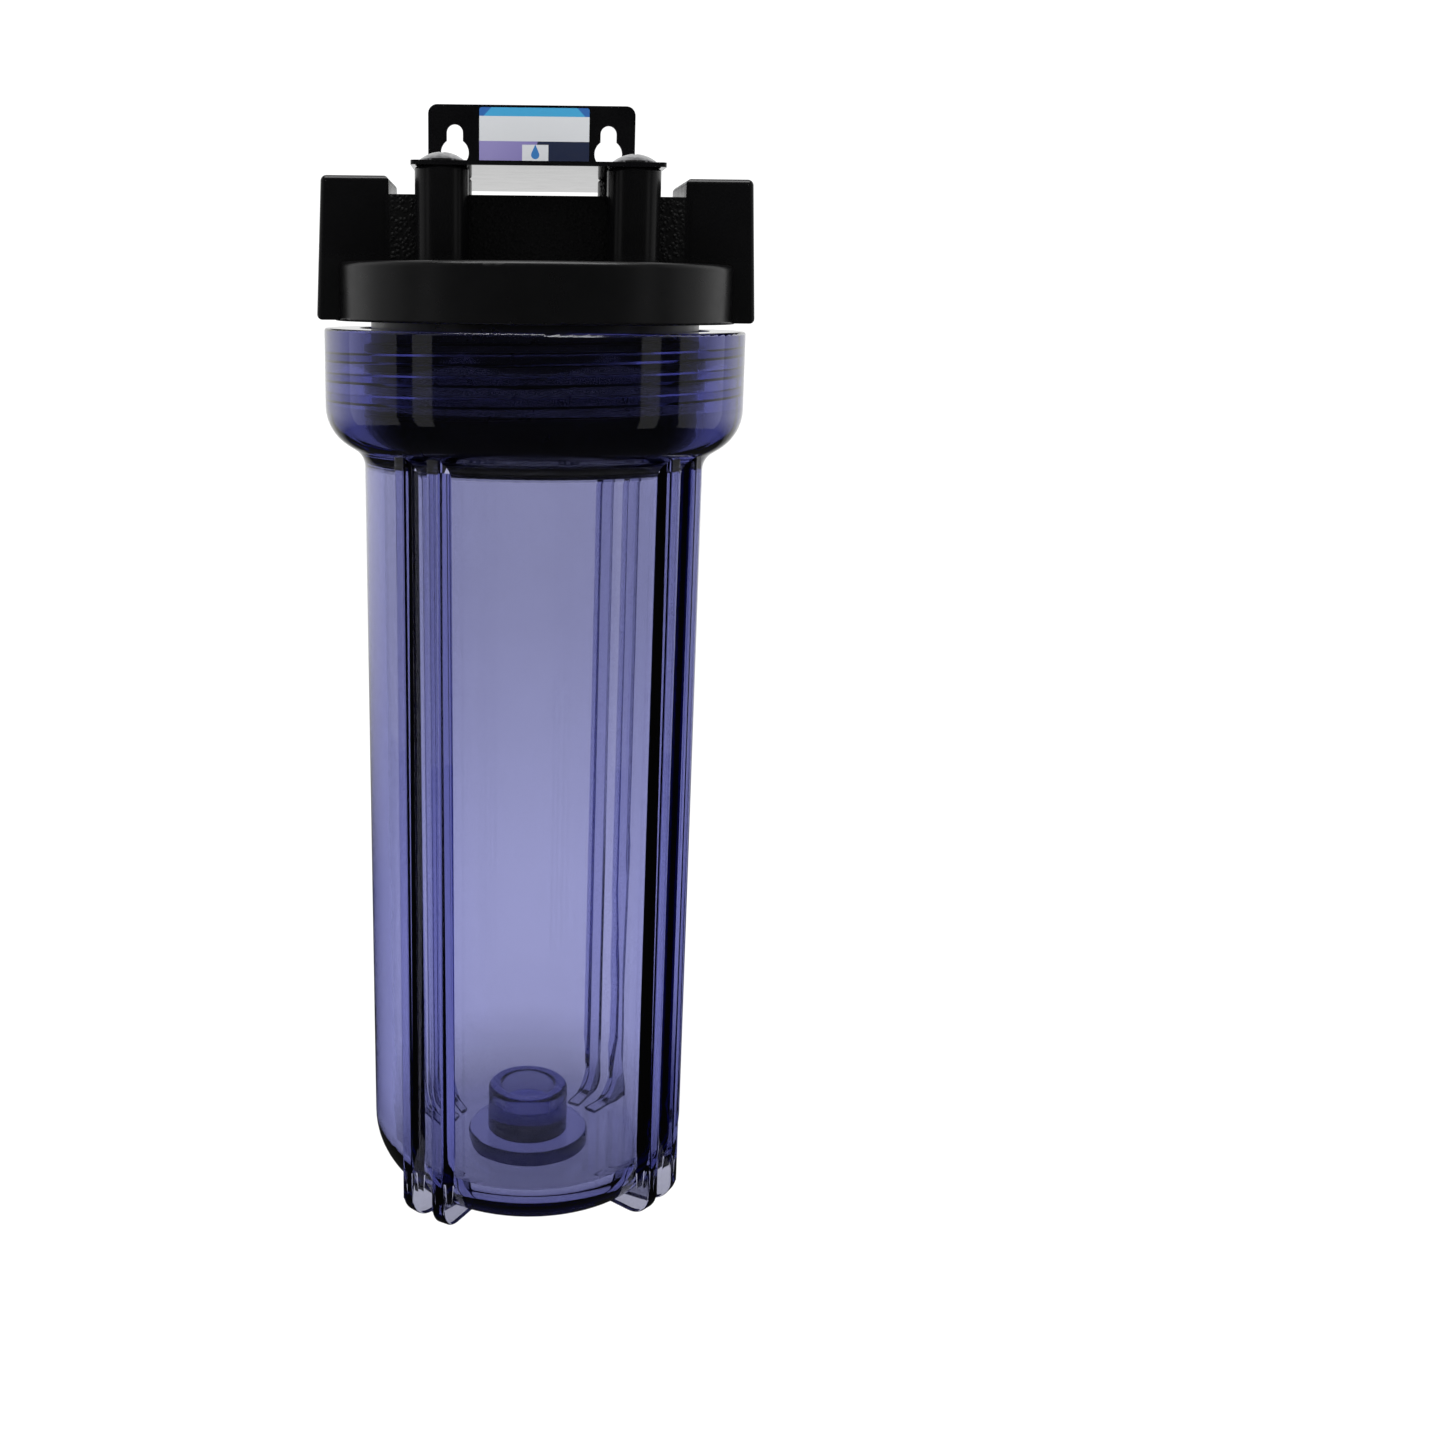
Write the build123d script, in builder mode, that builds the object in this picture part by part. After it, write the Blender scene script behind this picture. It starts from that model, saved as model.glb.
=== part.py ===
from build123d import *
import math
import os

# Clear-bowl cartridge filter housing hanging from a steel wall bracket.
# Millimetres, +Z up. The origin is the centre of the bowl's plain underside.
# The front faces -Y, the wall is on the +Y side and the two pipe ports face -X and +X.

# --- Bowl (sump) ---
BOWL_TOP = 257.1            # top face of the threaded collar
FIN_DEPTH = 1.2             # the fins reach this far below the plain bottom, which is at z = 0
BODY_R_TOP = 48.6
BODY_R_BASE = 47.7
UNDERSIDE_R = 37.2          # flat part of the bottom
BASE_ARC_R = 20.2           # rounding between the bottom and the wall
BASE_ARC_TOP = 17.7
UNDERSIDE_EDGE_R = 8.0
COLLAR_R = 59.5
COLLAR_UNDERSIDE = 228.5
SHOULDER_R = 12.6
NECK_TOP = 221.6            # where the wall runs into the collar's underside
LEDGE_Z = 227.2             # flat ledge at the foot of the threaded bore
NECK_R = 43.4
INNER_R_BASE = 42.2
FLOOR_Z = 7.2
FLOOR_CORNER_R = 10.0
POST_R = 12.4               # hollow post that locates the cartridge's lower end
POST_BORE_R = 8.2
POST_TOP = 25.4
POST_BORE_TAPER = 0.6
POST_HOLLOW_Z = 19.4
STEP_R = 18.8               # raised ring round the post, the cartridge's lower seat
STEP_TOP = 11.3

# --- Grip ribs that run down the bowl and under its bottom as fins ---
RIB_THICKNESS = 4.2
RIB_TIP_R_TOP = 52.4
RIB_TIP_R_BASE = 51.4
RIB_TOP = 225.7
RIB_INNER_R = 30.0
RIB_CORNER_R = 8.0
RIB_PAIR_CENTRES = (-128, -38, 52, 142)     # degrees from +X, four pairs a quarter turn apart
RIB_HALF_SPACING = 6.4                        # degrees either side of a pair's centre
FLARE_ROOT_R = 47.0         # the ribs widen towards the wall: root line, inside the wall
FLARE_ROOT_HALF = 4.0
FLARE_TIP_R = 51.2
FLARE_TIP_HALF = 2.0
FLARE_FOOT_Z = 5.0          # the flare starts here and is full width at FLARE_FULL_Z
FLARE_FULL_Z = 22.0

# --- Coarse thread between bowl and head ---
THREAD_PITCH = 5.5
THREAD_DEPTH = 2.1
RIDGE_WIDTH_ROOT = 3.2      # at its sunk foot
RIDGE_WIDTH_CREST = 1.7
RIDGE_ROOT_EMBED = 0.6      # how far a ridge is sunk into the wall that carries it
BOWL_BORE_R = 49.0
SPIGOT_R = 46.4
BOWL_THREAD_START = 235.2
BOWL_THREAD_TURNS = 3.4
HEAD_THREAD_START = 232.45  # half a pitch out of step with the bowl's thread
HEAD_THREAD_TURNS = 3.9

# --- O-ring and its groove in the bowl's neck ---
O_RING_SECTION_R = 1.9
O_RING_CENTRE_R = 45.0
O_RING_Z = 222.4
GROOVE_R = 46.95
GROOVE_HALF_HEIGHT = 2.2

# --- Head ---
SPIGOT_STEP_Z = 228.7
NOSE_R = 43.05
NOSE_BASE = 219.5
HEAD_CAVITY_R = 39.0
HEAD_ROOF_Z = 268.2
RING_R = 56.6
RING_BASE = 259.1
RING_TOP = 274.9
SEAT_R = 12.5               # tube that closes on the cartridge's upper end
SEAT_BORE_R = 8.5
SEAT_Z = 260.7
BLOCK_INNER_X = 40.0
BLOCK_OUTER_X_TOP = 58.3
BLOCK_OUTER_X_BASE = 60.0
BLOCK_HALF_Y = 18.0
BLOCK_BASE = 259.4
BLOCK_TOP = 297.5
BRIDGE_HALF_Y = 19.0
BRIDGE_TOP = 292.6
PORT_Z = 278.2
PORT_BORE_R = 12.1
PORT_DEPTH = 15.5
PASSAGE_R = 7.5
INLET_DROP_X = -26.0
BOSS_R = 7.2
BOSS_X = 25.6
BOSS_Y = 22.0

# --- Wall bracket ---
SHEET = 1.2
PLATE_Z = 299.5             # underside of the horizontal leaf, on top of the bosses
BRACKET_HALF_X = 33.6
BRACKET_FRONT_Y = -29.5
WALL_FACE_Y = 81.5
BRACKET_TOP = 326.6
BEND_INNER_R = 1.5
LEAF_CORNER_R = 3.0
FRONT_CORNER_R = 1.5
KEYHOLE_X = 24.95
KEYHOLE_WIDE_R = 4.5
KEYHOLE_SLOT_R = 2.6
KEYHOLE_WIDE_Z = 311.6
KEYHOLE_SLOT_Z = 317.8

# --- Sticker on the bracket ---
LABEL_WIDTH = 35.7
LABEL_X = 0.8
LABEL_BASE = 303.3
LABEL_TOP = 325.8
LABEL_THICKNESS = 0.15

# --- Screws ---
SCREW_HEAD_R = 5.8
SCREW_HEAD_HEIGHT = 2.6
SCREW_SHANK_R = 2.4
SCREW_LENGTH = 14.0
SCREW_POINT = 1.6
PILOT_R = 2.45
PILOT_DEPTH = 17.0
BRACKET_HOLE_R = 2.8
RECESS_LENGTH = 4.6
RECESS_WIDTH = 1.0
RECESS_DEPTH = 1.5

EDGE_R = 1.6                # usual rounding on the moulded head
RING_FOOT_R = 0.8
BOSS_RIM_R = 0.9
COLLAR_RIM_R = 0.8
SHOULDER_INNER_R = 6.0
POST_RIM_R = 1.2
STEP_EDGE_R = 1.0
RIB_FOOT_LEAD = 2.0
RIB_EMBED = 2.5             # how far a rib's root is sunk into the bottom and the wall
RIB_EDGE_R = 0.7            # rounding of a rib's outer edges
LEAD_IN = 0.8
OVERLAP = 1.0               # how far joined or cut volumes run into one another
LABEL_CORNER_R = 0.8
SCREW_HEAD_EDGE = 0.6
SCREW_DOME_MID_R = 3.6
SCREW_DOME_MID_HEIGHT = 1.88


def helical_ridge(carrier_r, crest_r, start_z, turns):
    """Trapezoidal thread ridge standing on a wall of carrier_r and reaching crest_r."""
    reach = crest_r - carrier_r
    embed = -math.copysign(RIDGE_ROOT_EMBED, reach)
    with BuildPart() as ridge:
        with BuildLine(Plane.XY.offset(start_z)) as path:
            Helix(pitch=THREAD_PITCH, height=THREAD_PITCH * turns, radius=carrier_r)
        across = Plane(origin=path.line @ 0, x_dir=(1, 0, 0), z_dir=path.line % 0)
        with BuildSketch(across):
            with BuildLine():
                Polyline(
                    (embed, -RIDGE_WIDTH_ROOT / 2),
                    (reach, -RIDGE_WIDTH_CREST / 2),
                    (reach, RIDGE_WIDTH_CREST / 2),
                    (embed, RIDGE_WIDTH_ROOT / 2),
                    close=True,
                )
            make_face()
        sweep(path=path.line, is_frenet=True)
    return ridge.part


def corner(r, z):
    """The corner of the sketch being drawn that lies nearest to (r, z)."""
    return vertices().sort_by_distance((r, z, 0))[0]


def save(piece, name):
    """Label a finished piece and write it as its own STEP file."""
    piece.part.label = name
    export_step(piece.part, f"parts/{name}.step")


os.makedirs("parts", exist_ok=True)

# ---------------------------------------------------------------- sump (clear bowl)
with BuildPart() as rib:
    with BuildSketch(Plane.XZ):
        with BuildLine():
            Polyline(
                (BODY_R_TOP - RIB_EMBED / 2, RIB_TOP),
                (RIB_TIP_R_TOP, RIB_TOP),
                (RIB_TIP_R_BASE, -FIN_DEPTH),
                (RIB_INNER_R, -FIN_DEPTH),
                (RIB_INNER_R, RIB_EMBED),
                (UNDERSIDE_R - RIB_EMBED, RIB_EMBED),
                (BODY_R_BASE - RIB_EMBED / 2, BASE_ARC_TOP),
                close=True,
            )
        make_face()
        fillet(corner(RIB_TIP_R_BASE, -FIN_DEPTH), RIB_CORNER_R)
        fillet(corner(RIB_INNER_R, -FIN_DEPTH), RIB_FOOT_LEAD)
    extrude(amount=RIB_THICKNESS / 2, both=True)
    side_edges = rib.edges().filter_by(Axis.Y, reverse=True).sort_by(Axis.Z)[:-2]
    tip_edges = [edge for edge in side_edges if edge.center().X > BODY_R_TOP or edge.center().Z < 0]
    fillet(tip_edges, RIB_EDGE_R)

flare_sections = (
    (FLARE_FOOT_Z, FLARE_TIP_HALF),
    (FLARE_FULL_Z, FLARE_ROOT_HALF),
    (RIB_TOP, FLARE_ROOT_HALF),
)
with BuildPart() as rib_flare:
    for section_z, root_half in flare_sections:
        with BuildSketch(Plane.XY.offset(section_z)):
            with BuildLine():
                Polyline(
                    (FLARE_ROOT_R, -root_half),
                    (FLARE_TIP_R, -FLARE_TIP_HALF),
                    (FLARE_TIP_R, FLARE_TIP_HALF),
                    (FLARE_ROOT_R, root_half),
                    close=True,
                )
            make_face()
    loft(ruled=True)

bowl_ridge = helical_ridge(BOWL_BORE_R, BOWL_BORE_R - THREAD_DEPTH, BOWL_THREAD_START, BOWL_THREAD_TURNS)

with BuildPart() as sump:
    with BuildSketch(Plane.XZ):
        with BuildLine():
            Polyline((0, POST_HOLLOW_Z), (0, 0), (UNDERSIDE_R, 0))
            RadiusArc((UNDERSIDE_R, 0), (BODY_R_BASE, BASE_ARC_TOP), -BASE_ARC_R)
            Polyline(
                (BODY_R_BASE, BASE_ARC_TOP),
                (BODY_R_TOP, NECK_TOP),
                (COLLAR_R, COLLAR_UNDERSIDE),
                (COLLAR_R, BOWL_TOP),
                (BOWL_BORE_R, BOWL_TOP),
                (BOWL_BORE_R, LEDGE_Z),
                (NECK_R, LEDGE_Z),
                (NECK_R, O_RING_Z + GROOVE_HALF_HEIGHT),
                (GROOVE_R, O_RING_Z + GROOVE_HALF_HEIGHT),
                (GROOVE_R, O_RING_Z - GROOVE_HALF_HEIGHT),
                (NECK_R, O_RING_Z - GROOVE_HALF_HEIGHT),
                (INNER_R_BASE, FLOOR_Z),
                (STEP_R, FLOOR_Z),
                (STEP_R, STEP_TOP),
                (POST_R, STEP_TOP),
                (POST_R, POST_TOP),
                (POST_BORE_R, POST_TOP),
                (POST_BORE_R - POST_BORE_TAPER, POST_HOLLOW_Z),
                (0, POST_HOLLOW_Z),
            )
        make_face()
        fillet(corner(UNDERSIDE_R, 0), UNDERSIDE_EDGE_R)
        fillet(corner(BODY_R_TOP, NECK_TOP), SHOULDER_INNER_R)
        fillet(corner(COLLAR_R, COLLAR_UNDERSIDE), SHOULDER_R)
        fillet(corner(COLLAR_R, BOWL_TOP), COLLAR_RIM_R)
        chamfer(corner(BOWL_BORE_R, BOWL_TOP), COLLAR_RIM_R)
        chamfer(corner(NECK_R, LEDGE_Z), LEAD_IN)
        fillet(corner(INNER_R_BASE, FLOOR_Z), FLOOR_CORNER_R)
        fillet(corner(STEP_R, STEP_TOP), STEP_EDGE_R)
        fillet(corner(POST_R, POST_TOP), POST_RIM_R)
        fillet(corner(POST_BORE_R, POST_TOP), POST_RIM_R)
    revolve(axis=Axis.Z)
    for pair_centre in RIB_PAIR_CENTRES:
        for side in (-1, 1):
            bearing = pair_centre + side * RIB_HALF_SPACING
            add(rib.part.rotate(Axis.Z, bearing))
            add(rib_flare.part.rotate(Axis.Z, bearing))
    add(bowl_ridge)
save(sump, "sump")

# ---------------------------------------------------------------- sump_o_ring
with BuildPart() as sump_o_ring:
    with Locations((0, 0, O_RING_Z)):
        Torus(O_RING_CENTRE_R, O_RING_SECTION_R)
save(sump_o_ring, "sump_o_ring")

# ---------------------------------------------------------------- head
with BuildPart() as port_block:
    with BuildSketch(Plane.XZ):
        with BuildLine():
            Polyline(
                (BLOCK_INNER_X, BLOCK_BASE),
                (BLOCK_OUTER_X_BASE, BLOCK_BASE),
                (BLOCK_OUTER_X_TOP, BLOCK_TOP),
                (BLOCK_INNER_X, BLOCK_TOP),
                close=True,
            )
        make_face()
    extrude(amount=BLOCK_HALF_Y, both=True)
    top_edges = port_block.faces().sort_by(Axis.Z)[-1].edges()
    outer_edges = port_block.faces().sort_by(Axis.X)[-1].edges()
    fillet(top_edges + [edge for edge in outer_edges if edge not in top_edges], EDGE_R)

head_ridge = helical_ridge(SPIGOT_R, SPIGOT_R + THREAD_DEPTH, HEAD_THREAD_START, HEAD_THREAD_TURNS)

with BuildPart() as head:
    with BuildSketch(Plane.XZ):
        with BuildLine():
            Polyline(
                (0, RING_TOP),
                (RING_R, RING_TOP),
                (RING_R, RING_BASE),
                (SPIGOT_R, RING_BASE),
                (SPIGOT_R, SPIGOT_STEP_Z),
                (NOSE_R, SPIGOT_STEP_Z),
                (NOSE_R, NOSE_BASE),
                (HEAD_CAVITY_R, NOSE_BASE),
                (HEAD_CAVITY_R, HEAD_ROOF_Z),
                (SEAT_R, HEAD_ROOF_Z),
                (SEAT_R, SEAT_Z),
                (0, SEAT_Z),
                close=True,
            )
        make_face()
        fillet(corner(RING_R, RING_TOP), EDGE_R)
        fillet(corner(RING_R, RING_BASE), RING_FOOT_R)
        chamfer(corner(NOSE_R, NOSE_BASE), LEAD_IN)
    revolve(axis=Axis.Z)
    add(head_ridge)
    with BuildSketch(Plane.XY.offset(HEAD_ROOF_Z + OVERLAP)):
        Rectangle(2 * (BLOCK_INNER_X + OVERLAP), 2 * BRIDGE_HALF_Y)
    extrude(amount=BRIDGE_TOP - HEAD_ROOF_Z - OVERLAP)
    add(port_block.part)
    add(port_block.part.mirror(Plane.YZ))
    with BuildSketch(Plane.XY.offset(RING_TOP - OVERLAP)):
        with GridLocations(2 * BOSS_X, 2 * BOSS_Y, 2, 2):
            Circle(BOSS_R)
    extrude(amount=PLATE_Z - RING_TOP + OVERLAP)
    boss_rims = head.edges().filter_by(GeomType.CIRCLE).group_by(Axis.Z)[-1]
    fillet(boss_rims, BOSS_RIM_R)
    for side, passage_end in ((-1, PASSAGE_R + INLET_DROP_X), (1, 0)):
        outward = Plane(origin=(side * BLOCK_OUTER_X_BASE, 0, PORT_Z), z_dir=(-side, 0, 0))
        with BuildSketch(outward):
            Circle(PORT_BORE_R)
        extrude(amount=PORT_DEPTH, mode=Mode.SUBTRACT)
        with BuildSketch(outward):
            Circle(PASSAGE_R)
        extrude(amount=BLOCK_OUTER_X_BASE + side * -passage_end, mode=Mode.SUBTRACT)
    with BuildSketch(Plane.XY.offset(HEAD_ROOF_Z - OVERLAP)):
        with Locations((INLET_DROP_X, 0)):
            Circle(PASSAGE_R)
    extrude(amount=PORT_Z - HEAD_ROOF_Z + OVERLAP, mode=Mode.SUBTRACT)
    with BuildSketch(Plane.XY.offset(SEAT_Z)):
        Circle(SEAT_BORE_R)
    extrude(amount=PORT_Z - SEAT_Z, mode=Mode.SUBTRACT)
    with BuildSketch(Plane.XY.offset(PLATE_Z)):
        with GridLocations(2 * BOSS_X, 2 * BOSS_Y, 2, 2):
            Circle(PILOT_R)
    extrude(amount=-PILOT_DEPTH, mode=Mode.SUBTRACT)
save(head, "head")

# ---------------------------------------------------------------- bracket
with BuildPart() as bracket:
    with BuildSketch(Plane.YZ):
        with BuildLine():
            Polyline(
                (BRACKET_FRONT_Y, PLATE_Z),
                (WALL_FACE_Y, PLATE_Z),
                (WALL_FACE_Y, BRACKET_TOP),
                (WALL_FACE_Y - SHEET, BRACKET_TOP),
                (WALL_FACE_Y - SHEET, PLATE_Z + SHEET),
                (BRACKET_FRONT_Y, PLATE_Z + SHEET),
                close=True,
            )
        make_face()
        fillet(corner(WALL_FACE_Y, PLATE_Z), BEND_INNER_R + SHEET)
        fillet(corner(WALL_FACE_Y - SHEET, PLATE_Z + SHEET), BEND_INNER_R)
    extrude(amount=BRACKET_HALF_X, both=True)
    upper_corners = bracket.edges().filter_by(Axis.Y).group_by(Axis.Z)[-1]
    fillet(upper_corners, LEAF_CORNER_R)
    front_corners = bracket.edges().filter_by(Axis.Z).group_by(Axis.Y)[0]
    fillet(front_corners, FRONT_CORNER_R)
    with BuildSketch(Plane.XZ.offset(-WALL_FACE_Y)):
        with Locations((-KEYHOLE_X, KEYHOLE_WIDE_Z), (KEYHOLE_X, KEYHOLE_WIDE_Z)):
            Circle(KEYHOLE_WIDE_R)
        with Locations((-KEYHOLE_X, KEYHOLE_SLOT_Z), (KEYHOLE_X, KEYHOLE_SLOT_Z)):
            Circle(KEYHOLE_SLOT_R)
            Rectangle(2 * KEYHOLE_SLOT_R, KEYHOLE_SLOT_Z - KEYHOLE_WIDE_Z, align=(Align.CENTER, Align.MAX))
    extrude(amount=SHEET, mode=Mode.SUBTRACT)
    with BuildSketch(Plane.XY.offset(PLATE_Z)):
        with GridLocations(2 * BOSS_X, 2 * BOSS_Y, 2, 2):
            Circle(BRACKET_HOLE_R)
    extrude(amount=SHEET, mode=Mode.SUBTRACT)
save(bracket, "bracket")

# ---------------------------------------------------------------- bracket_label
with BuildPart() as bracket_label:
    with BuildSketch(Plane.XZ.offset(SHEET - WALL_FACE_Y)):
        with Locations((LABEL_X, (LABEL_BASE + LABEL_TOP) / 2)):
            RectangleRounded(LABEL_WIDTH, LABEL_TOP - LABEL_BASE, LABEL_CORNER_R)
    extrude(amount=LABEL_THICKNESS)
save(bracket_label, "bracket_label")


# ---------------------------------------------------------------- bracket screws
def bracket_screw(x, y):
    """A domed cross-recess screw that holds the bracket down on one boss."""
    seat_z = PLATE_Z + SHEET
    with BuildPart() as screw:
        with BuildSketch(Plane.XZ):
            with BuildLine():
                ThreePointArc(
                    (0, seat_z + SCREW_HEAD_HEIGHT),
                    (SCREW_DOME_MID_R, seat_z + SCREW_DOME_MID_HEIGHT),
                    (SCREW_HEAD_R, seat_z + SCREW_HEAD_EDGE),
                )
                Polyline(
                    (SCREW_HEAD_R, seat_z + SCREW_HEAD_EDGE),
                    (SCREW_HEAD_R, seat_z),
                    (SCREW_SHANK_R, seat_z),
                    (SCREW_SHANK_R, seat_z - SCREW_LENGTH + SCREW_POINT),
                    (0, seat_z - SCREW_LENGTH),
                    (0, seat_z + SCREW_HEAD_HEIGHT),
                )
            make_face()
        revolve(axis=Axis.Z)
        with BuildSketch(Plane.XY.offset(seat_z + SCREW_HEAD_HEIGHT)):
            Rectangle(RECESS_LENGTH, RECESS_WIDTH)
            Rectangle(RECESS_WIDTH, RECESS_LENGTH)
        extrude(amount=-RECESS_DEPTH, mode=Mode.SUBTRACT)
    screw.part.locate(Location((x, y, 0)))
    return screw


for row, y in (("front", -BOSS_Y), ("rear", BOSS_Y)):
    for column, x in (("left", -BOSS_X), ("right", BOSS_X)):
        save(bracket_screw(x, y), f"bracket_screw_{row}_{column}")
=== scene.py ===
import bpy
import math
from mathutils import Matrix, Vector


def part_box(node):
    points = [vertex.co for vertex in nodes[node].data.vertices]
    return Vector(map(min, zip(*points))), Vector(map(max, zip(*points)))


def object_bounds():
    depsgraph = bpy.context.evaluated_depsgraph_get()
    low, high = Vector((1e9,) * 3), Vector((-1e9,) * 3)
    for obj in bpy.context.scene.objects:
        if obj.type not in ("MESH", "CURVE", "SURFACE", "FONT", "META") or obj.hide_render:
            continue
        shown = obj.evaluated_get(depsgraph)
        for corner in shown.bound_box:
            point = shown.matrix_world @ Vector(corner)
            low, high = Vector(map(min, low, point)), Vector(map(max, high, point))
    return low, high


# A clear-bowl cartridge filter housing on its wall bracket, on a pale floor. Metres, as the frame.

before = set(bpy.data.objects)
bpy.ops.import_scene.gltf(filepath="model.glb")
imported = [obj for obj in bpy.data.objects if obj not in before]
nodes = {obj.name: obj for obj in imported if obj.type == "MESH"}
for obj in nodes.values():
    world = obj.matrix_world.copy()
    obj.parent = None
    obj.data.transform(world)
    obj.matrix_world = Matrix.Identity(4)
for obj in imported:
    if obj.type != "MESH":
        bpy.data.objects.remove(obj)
cad_low, cad_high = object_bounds()
scene = bpy.context.scene


# ---------------------------------------------------------------- node helpers
def material(name):
    """A new node material, its node tree and its Principled shader."""
    made = bpy.data.materials.new(name)
    made.use_nodes = True
    tree = made.node_tree
    return made, tree, tree.nodes["Principled BSDF"]


def noise(tree, coords, scale, detail):
    """Noise texture driven by coords."""
    made = tree.nodes.new("ShaderNodeTexNoise")
    made.inputs["Scale"].default_value = scale
    made.inputs["Detail"].default_value = detail
    tree.links.new(coords, made.inputs["Vector"])
    return made.outputs["Fac"]


def remap(tree, value, low_in, high_in, low_out, high_out):
    """Clamped linear remap of a value."""
    made = tree.nodes.new("ShaderNodeMapRange")
    ends = {"From Min": low_in, "From Max": high_in, "To Min": low_out, "To Max": high_out}
    for key, number in ends.items():
        made.inputs[key].default_value = number
    tree.links.new(value, made.inputs["Value"])
    return made.outputs["Result"]


def math_node(tree, operation, a, b=0.0):
    """Math node on values or sockets."""
    made = tree.nodes.new("ShaderNodeMath")
    made.operation = operation
    for place, value in enumerate((a, b)):
        if isinstance(value, (int, float)):
            made.inputs[place].default_value = value
        else:
            tree.links.new(value, made.inputs[place])
    return made.outputs["Value"]


def mix_colours(tree, factor, first, second):
    """Mix of two colours or colour sockets by a factor socket."""
    made = tree.nodes.new("ShaderNodeMix")
    made.data_type = "RGBA"
    tree.links.new(factor, made.inputs["Factor"])
    for key, value in (("A", first), ("B", second)):
        target = [s for s in made.inputs if s.name == key and s.type == "RGBA"][0]
        if isinstance(value, tuple):
            target.default_value = (*value, 1.0)
        else:
            tree.links.new(value, target)
    return [s for s in made.outputs if s.type == "RGBA"][0]


def bump(tree, shader, height, distance, strength):
    """Bump the shader's normal by a height socket; distance in metres."""
    made = tree.nodes.new("ShaderNodeBump")
    made.inputs["Strength"].default_value = strength
    made.inputs["Distance"].default_value = distance
    tree.links.new(height, made.inputs["Height"])
    tree.links.new(made.outputs["Normal"], shader.inputs["Normal"])


def object_coords(tree):
    """Object coordinates, which are the frame's metres."""
    return tree.nodes.new("ShaderNodeTexCoord").outputs["Object"]


def axes_of(tree, coords):
    """The X, Y and Z sockets of coords."""
    made = tree.nodes.new("ShaderNodeSeparateXYZ")
    tree.links.new(coords, made.inputs[0])
    return made.outputs


def paint(name, made):
    """Give a carried-over CAD node its material."""
    mesh = nodes[name].data
    mesh.materials.clear()
    mesh.materials.append(made)


# ---------------------------------------------------------------- materials
# head: the pebbled bridge lies between the port blocks, above the ring
BLOCK_INNER_X = 0.040
BRIDGE_HALF_Y = 0.0192
RING_TOP_Z = 0.2754

# label: the drop's middle, as shares of the label's width and height
LABEL_ASPECT = 1.59
DROP_ACROSS = 0.51
DROP_UP = 0.35
DROP_RADIUS = 0.06
PANEL_HALF_WIDTH = 0.19
PANEL_TOP = 0.49
FOOT_TOP = 0.536
HEAD_BAND_BASE = 0.88

# bowl: painted shade darkens it above and below two heights, and there is none between them
CLEAR_FROM_Z = 0.032
CLEAR_TO_Z = 0.080
PAINTED_SHADE_TOP_Z = 0.180
PAINTED_SHADE_FOOT_Z = 0.006
UPPER_PAINTED_SHADE = 0.20
LOWER_PAINTED_SHADE = 0.45
TINT_DENSITY = 100.0
PLASTIC_IOR = 1.57


def clear_bowl_material():
    """Thick clear plastic with a violet-blue tint, and painted shade that darkens it towards its top
    and its foot.
    """
    made, tree, shader = material("clear_bowl")
    shader.inputs["Roughness"].default_value = 0.02
    shader.inputs["IOR"].default_value = PLASTIC_IOR
    shader.inputs["Transmission Weight"].default_value = 1.0
    coords = object_coords(tree)
    axes = axes_of(tree, coords)
    cloud = remap(tree, noise(tree, coords, 14.0, 2.0), 0.3, 0.7, 0.0, 0.02)
    # painted shade: the base colour darkens towards the bowl's top and its foot, plus a faint random
    # cloud of tone
    upper = remap(tree, axes["Z"], CLEAR_TO_Z, PAINTED_SHADE_TOP_Z, 0.0, UPPER_PAINTED_SHADE)
    lower = remap(tree, axes["Z"], PAINTED_SHADE_FOOT_Z, CLEAR_FROM_Z, LOWER_PAINTED_SHADE, 0.0)
    cloud_and_painted_shade = math_node(tree, "ADD", math_node(tree, "ADD", upper, lower), cloud)
    tint = mix_colours(tree, cloud_and_painted_shade, (1.0, 1.0, 1.0), (0.0, 0.0, 0.0))
    tree.links.new(tint, shader.inputs["Base Color"])
    ripple = noise(tree, coords, 26.0, 1.0)
    bump(tree, shader, ripple, 0.0004, 0.15)
    absorb = tree.nodes.new("ShaderNodeVolumeAbsorption")
    absorb.inputs["Color"].default_value = (0.0, 0.03, 0.57, 1.0)
    absorb.inputs["Density"].default_value = TINT_DENSITY
    output = tree.nodes["Material Output"]
    tree.links.new(absorb.outputs["Volume"], output.inputs["Volume"])
    return made


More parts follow.
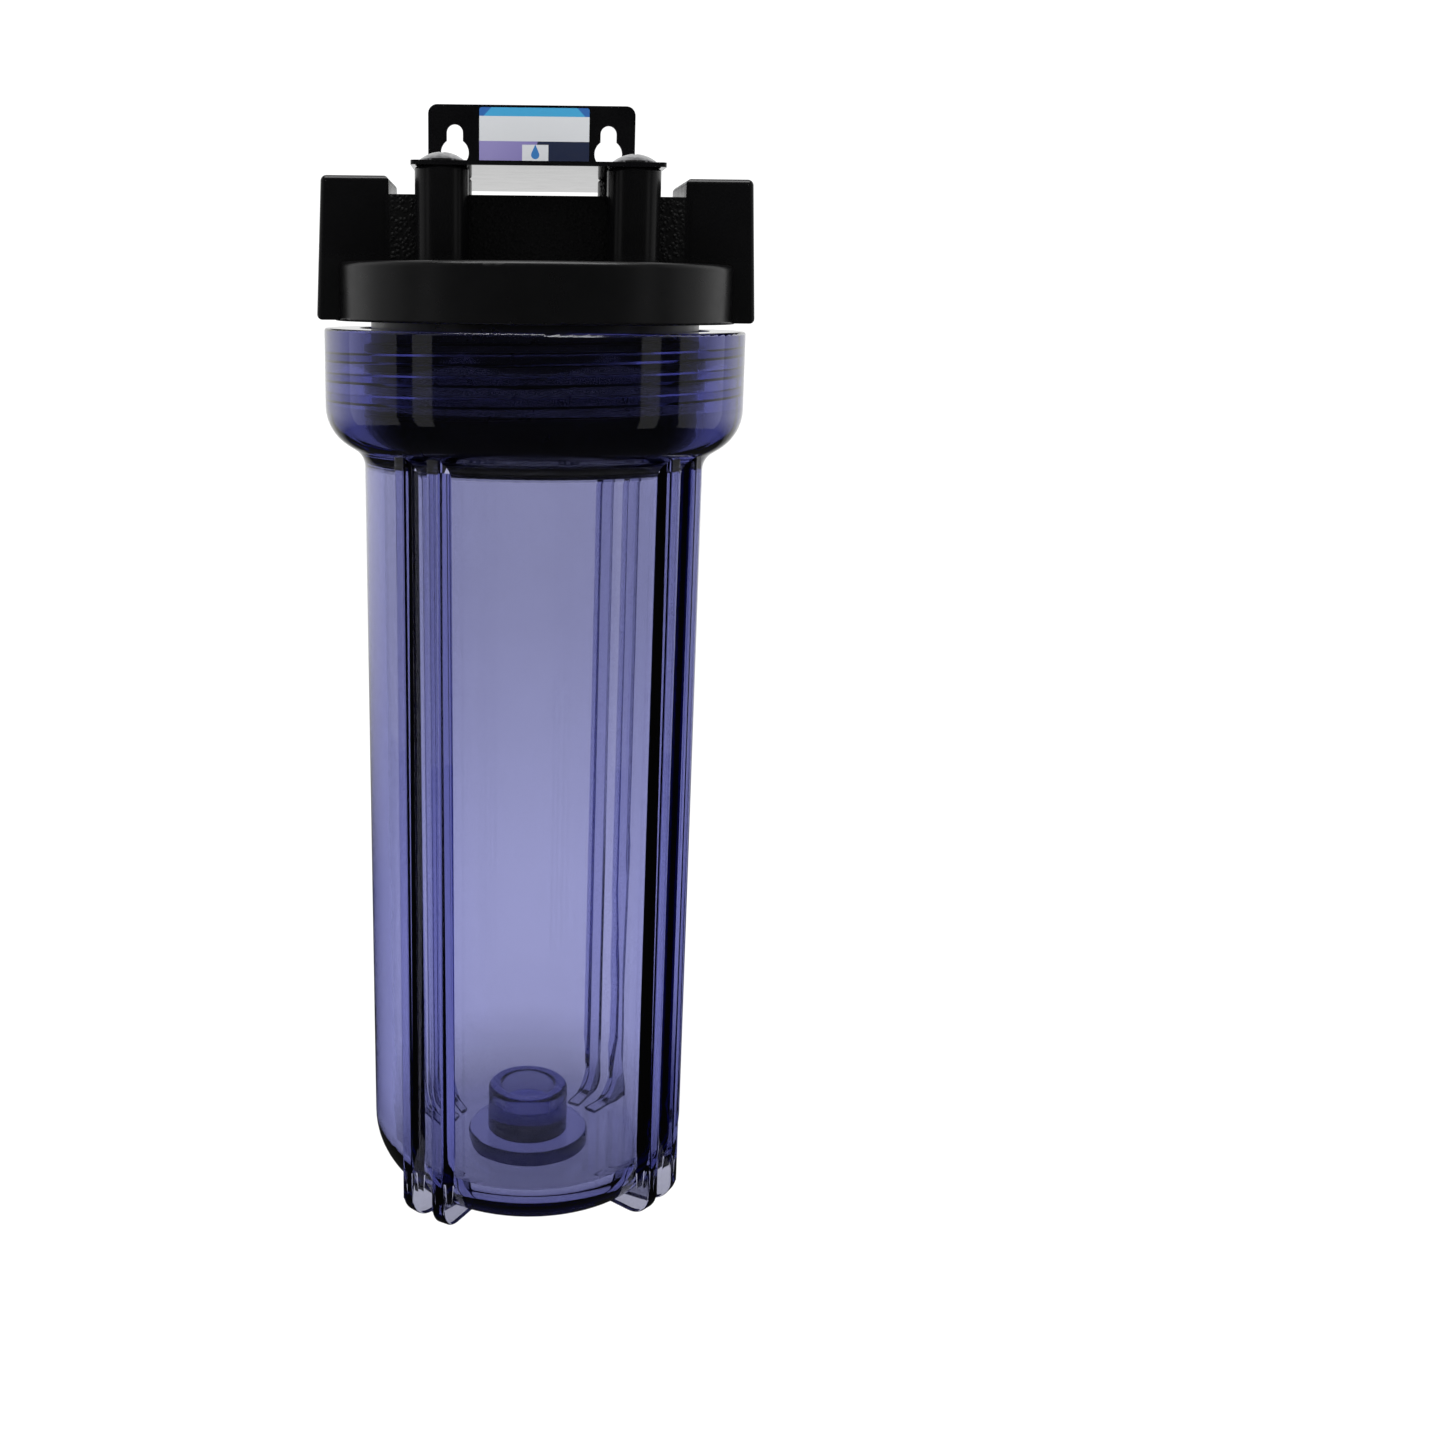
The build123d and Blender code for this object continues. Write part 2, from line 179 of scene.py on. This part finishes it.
def head_material():
    """Black moulded plastic: satin ring, glossier port blocks, pebbled bridge between them."""
    made, tree, shader = material("head_plastic")
    shader.inputs["Specular IOR Level"].default_value = 0.35
    coords = object_coords(tree)
    axes = axes_of(tree, coords)
    tone = remap(tree, noise(tree, coords, 45.0, 4.0), 0.3, 0.7, 0.0, 1.0)
    colour = mix_colours(tree, tone, (0.0018, 0.0018, 0.0021), (0.0032, 0.0032, 0.0037))
    tree.links.new(colour, shader.inputs["Base Color"])
    across = math_node(tree, "ABSOLUTE", axes["X"])
    depth = math_node(tree, "ABSOLUTE", axes["Y"])
    between_blocks = remap(tree, across, BLOCK_INNER_X - 0.0006, BLOCK_INNER_X, 1.0, 0.0)
    above_ring = remap(tree, axes["Z"], RING_TOP_Z, RING_TOP_Z + 0.0006, 0.0, 1.0)
    off_bosses = remap(tree, depth, BRIDGE_HALF_Y, BRIDGE_HALF_Y + 0.0003, 1.0, 0.0)
    bridge = math_node(tree, "MULTIPLY", between_blocks, above_ring)
    bridge = math_node(tree, "MULTIPLY", bridge, off_bosses)
    fine = remap(tree, noise(tree, coords, 220.0, 2.0), 0.3, 0.7, -0.03, 0.03)
    smooth_gloss = remap(tree, axes["Z"], RING_TOP_Z, RING_TOP_Z + 0.002, 0.30, 0.24)
    plain_gloss = math_node(tree, "ADD", smooth_gloss, fine)
    gloss = math_node(tree, "ADD", plain_gloss, math_node(tree, "MULTIPLY", bridge, 0.2))
    tree.links.new(gloss, shader.inputs["Roughness"])
    cells = tree.nodes.new("ShaderNodeTexVoronoi")
    cells.inputs["Scale"].default_value = 950.0
    tree.links.new(coords, cells.inputs["Vector"])
    pebble = remap(tree, cells.outputs["Distance"], 0.0, 0.6, 1.0, 0.0)
    bump(tree, shader, math_node(tree, "MULTIPLY", pebble, bridge), 0.0004, 0.8)
    return made


def bracket_material():
    """Gloss black paint on sheet steel."""
    made, tree, shader = material("bracket_paint")
    coords = object_coords(tree)
    tone = remap(tree, noise(tree, coords, 60.0, 3.0), 0.3, 0.7, 0.0, 1.0)
    colour = mix_colours(tree, tone, (0.0025, 0.0025, 0.003), (0.0045, 0.0045, 0.005))
    tree.links.new(colour, shader.inputs["Base Color"])
    gloss = remap(tree, noise(tree, coords, 120.0, 2.0), 0.3, 0.7, 0.06, 0.11)
    tree.links.new(gloss, shader.inputs["Roughness"])
    bump(tree, shader, noise(tree, coords, 500.0, 1.0), 0.00001, 0.2)
    return made


def screw_material():
    """Bright plated steel."""
    made, tree, shader = material("screw_chrome")
    coords = object_coords(tree)
    tone = remap(tree, noise(tree, coords, 900.0, 3.0), 0.3, 0.7, 0.0, 1.0)
    colour = mix_colours(tree, tone, (0.26, 0.26, 0.27), (0.46, 0.46, 0.47))
    tree.links.new(colour, shader.inputs["Base Color"])
    shader.inputs["Metallic"].default_value = 1.0
    gloss = remap(tree, noise(tree, coords, 1500.0, 2.0), 0.3, 0.7, 0.10, 0.18)
    tree.links.new(gloss, shader.inputs["Roughness"])
    bump(tree, shader, noise(tree, coords, 700.0, 1.0), 0.00008, 0.25)
    return made


def rubber_material():
    """Black seal rubber."""
    made, tree, shader = material("seal_rubber")
    coords = object_coords(tree)
    tone = remap(tree, noise(tree, coords, 300.0, 3.0), 0.3, 0.7, 0.0, 1.0)
    colour = mix_colours(tree, tone, (0.004, 0.004, 0.004), (0.008, 0.008, 0.008))
    tree.links.new(colour, shader.inputs["Base Color"])
    gloss = remap(tree, noise(tree, coords, 500.0, 2.0), 0.3, 0.7, 0.4, 0.55)
    tree.links.new(gloss, shader.inputs["Roughness"])
    bump(tree, shader, noise(tree, coords, 1800.0, 2.0), 0.00003, 0.4)
    return made


def label_material():
    """Plain sticker: sky-blue head band, white band, lavender and navy foot with a water drop."""
    made, tree, shader = material("label")
    low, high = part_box("bracket_label")
    coords = object_coords(tree)
    axes = axes_of(tree, coords)
    across = remap(tree, axes["X"], low[0], high[0], 0.0, 1.0)
    up = remap(tree, axes["Z"], low[2], high[2], 0.0, 1.0)
    slant = math_node(tree, "ADD", across, math_node(tree, "MULTIPLY", up, -0.25))
    sheen = remap(tree, slant, 0.0, 0.40, 0.0, 1.0)
    lavender = mix_colours(tree, sheen, (0.33, 0.29, 0.62), (0.27, 0.23, 0.56))
    navy_side = remap(tree, slant, 0.395, 0.405, 0.0, 1.0)
    foot = mix_colours(tree, navy_side, lavender, (0.016, 0.026, 0.075))
    aside = math_node(tree, "MULTIPLY", math_node(tree, "ADD", across, -DROP_ACROSS), LABEL_ASPECT)
    aloft = math_node(tree, "ADD", up, -DROP_UP)
    off_centre = math_node(tree, "ABSOLUTE", aside)
    beside = math_node(tree, "LESS_THAN", off_centre, PANEL_HALF_WIDTH)
    in_panel = math_node(tree, "MULTIPLY", beside, math_node(tree, "LESS_THAN", up, PANEL_TOP))
    foot = mix_colours(tree, in_panel, foot, (0.80, 0.82, 0.86))
    aside_squared = math_node(tree, "MULTIPLY", aside, aside)
    aloft_squared = math_node(tree, "MULTIPLY", aloft, aloft)
    squares = math_node(tree, "ADD", aside_squared, aloft_squared)
    drop_round = math_node(tree, "LESS_THAN", math_node(tree, "SQRT", squares), DROP_RADIUS)
    narrowing = math_node(tree, "ADD", off_centre, math_node(tree, "MULTIPLY", aloft, 0.45))
    pointed = math_node(tree, "LESS_THAN", narrowing, 0.0655)
    drop_point = math_node(tree, "MULTIPLY", pointed, math_node(tree, "GREATER_THAN", aloft, 0.025))
    drop = math_node(tree, "MULTIPLY", math_node(tree, "MAXIMUM", drop_round, drop_point), in_panel)
    foot = mix_colours(tree, drop, foot, (0.03, 0.22, 0.60))
    above_foot = math_node(tree, "GREATER_THAN", up, FOOT_TOP)
    band = mix_colours(tree, above_foot, foot, (0.78, 0.80, 0.83))
    edgeward = math_node(tree, "ABSOLUTE", math_node(tree, "ADD", across, -0.5))
    corner = math_node(tree, "ADD", edgeward, math_node(tree, "MULTIPLY", up, 0.6))
    corner_share = remap(tree, corner, 0.985, 0.995, 0.0, 1.0)
    top_band = mix_colours(tree, corner_share, (0.045, 0.42, 0.76), (0.02, 0.15, 0.50))
    in_head_band = math_node(tree, "GREATER_THAN", up, HEAD_BAND_BASE)
    colour = mix_colours(tree, in_head_band, band, top_band)
    tree.links.new(colour, shader.inputs["Base Color"])
    gloss = remap(tree, noise(tree, coords, 400.0, 2.0), 0.3, 0.7, 0.30, 0.38)
    tree.links.new(gloss, shader.inputs["Roughness"])
    return made


def floor_material():
    """Plain pale floor."""
    made, tree, shader = material("floor")
    coords = object_coords(tree)
    tone = remap(tree, noise(tree, coords, 8.0, 3.0), 0.3, 0.7, 0.0, 1.0)
    colour = mix_colours(tree, tone, (0.95, 0.95, 0.95), (0.97, 0.97, 0.97))
    tree.links.new(colour, shader.inputs["Base Color"])
    shader.inputs["Roughness"].default_value = 0.6
    shader.inputs["Specular IOR Level"].default_value = 0.0
    return made


paint("sump", clear_bowl_material())
nodes["sump"].visible_diffuse = False       # the clear bowl throws no dark shadow on the floor
paint("head", head_material())
paint("bracket", bracket_material())
paint("sump_o_ring", rubber_material())
paint("bracket_label", label_material())
chrome = screw_material()
for name in nodes:
    if name.startswith("bracket_screw"):
        paint(name, chrome)

# ---------------------------------------------------------------- floor
# the bowl comes down 26 mm when it is unscrewed, so the housing hangs clear of the floor
FLOOR_HALF = 6.0
ROOM_TO_UNSCREW = 0.040
floor_z = cad_low[2] - ROOM_TO_UNSCREW
floor_corners = [
    (-FLOOR_HALF, -FLOOR_HALF, floor_z),
    (FLOOR_HALF, -FLOOR_HALF, floor_z),
    (FLOOR_HALF, FLOOR_HALF, floor_z),
    (-FLOOR_HALF, FLOOR_HALF, floor_z),
]
floor_mesh = bpy.data.meshes.new("floor")
floor_mesh.from_pydata(floor_corners, [], [(0, 1, 2, 3)])
floor_mesh.materials.append(floor_material())
floor = bpy.data.objects.new("floor", floor_mesh)
scene.collection.objects.link(floor)
floor.visible_glossy = False

# ---------------------------------------------------------------- camera
EYE_DISTANCE = 0.474
EYE_HEIGHT = 0.2657
EYE_ASIDE = 0.0005
PITCH = math.radians(12.5)
YAW = math.radians(-1.23)
ROLL = math.radians(0.55)
LENS_MM = 40.7
SENSOR_MM = 36.0
SHIFT_X = 0.1307
SHIFT_Y = -0.043

camera_data = bpy.data.cameras.new("camera")
camera_data.lens = LENS_MM
camera_data.sensor_width = SENSOR_MM
camera_data.shift_x = SHIFT_X
camera_data.shift_y = SHIFT_Y
camera_data.clip_start = 0.01
camera = bpy.data.objects.new("camera", camera_data)
forward = Vector((-math.sin(YAW), math.cos(YAW), 0.0))
place = Matrix.Translation(-EYE_DISTANCE * forward + Vector((EYE_ASIDE, 0.0, EYE_HEIGHT)))
camera.matrix_world = (
    place
    @ Matrix.Rotation(YAW, 4, "Z")
    @ Matrix.Rotation(math.pi / 2 - PITCH, 4, "X")
    @ Matrix.Rotation(ROLL, 4, "Z")
)
scene.collection.objects.link(camera)
scene.camera = camera


# ---------------------------------------------------------------- light
def area_light(name, place, target, size, power):
    """A soft rectangular light at place that looks at target."""
    data = bpy.data.lights.new(name, "AREA")
    data.shape = "RECTANGLE"
    data.size, data.size_y = size
    data.energy = power
    lamp = bpy.data.objects.new(name, data)
    lamp.location = place
    lamp.rotation_euler = (Vector(target) - Vector(place)).to_track_quat("-Z", "Y").to_euler()
    lamp.visible_diffuse = False
    lamp.visible_transmission = False
    scene.collection.objects.link(lamp)


# soft boxes that show only as highlights; the white surroundings give the rest of the light
middle = (0.0, 0.0, 0.2)
area_light("left_box", (-1.2, 0.15, 0.45), middle, (0.9, 1.4), 1.2)
area_light("right_box", (1.2, 0.2, 0.45), middle, (0.9, 1.4), 1.2)
area_light("left_strip", (-1.0, -0.55, 0.45), middle, (0.25, 1.4), 0.35)
area_light("right_strip", (1.0, -0.55, 0.45), middle, (0.25, 1.4), 0.35)
area_light("top_box", (0.0, -0.15, 1.4), middle, (1.2, 0.6), 13.0)

# white surroundings; gloss and clear plastic find them bright behind, dim in front and below
WORLD_STRENGTH = 1.12
DIM_SHARE = 0.02
BRIGHT_SHARE = 0.75
world = bpy.data.worlds.new("world")
world.use_nodes = True
sky = world.node_tree
rays = sky.nodes.new("ShaderNodeLightPath")
bent = math_node(sky, "MAXIMUM", rays.outputs["Is Glossy Ray"], rays.outputs["Is Transmission Ray"])
bent = math_node(sky, "MULTIPLY", bent, math_node(sky, "LESS_THAN", rays.outputs["Diffuse Depth"], 0.5))
heading = axes_of(sky, sky.nodes.new("ShaderNodeTexCoord").outputs["Generated"])
from_behind = remap(sky, heading["Y"], 0.15, 0.7, 0.0, BRIGHT_SHARE)
above_floor = remap(sky, heading["Z"], -0.35, -0.12, 0.0, 1.0)
lit = math_node(sky, "MULTIPLY", from_behind, above_floor)
found = math_node(sky, "ADD", lit, DIM_SHARE)
unbent = math_node(sky, "SUBTRACT", 1.0, bent)
share = math_node(sky, "ADD", math_node(sky, "MULTIPLY", bent, found), unbent)
strength = math_node(sky, "MULTIPLY", share, WORLD_STRENGTH)
sky.nodes["Background"].inputs["Color"].default_value = (1.0, 1.0, 1.0, 1.0)
sky.links.new(strength, sky.nodes["Background"].inputs["Strength"])
scene.world = world
scene.view_settings.view_transform = "Standard"
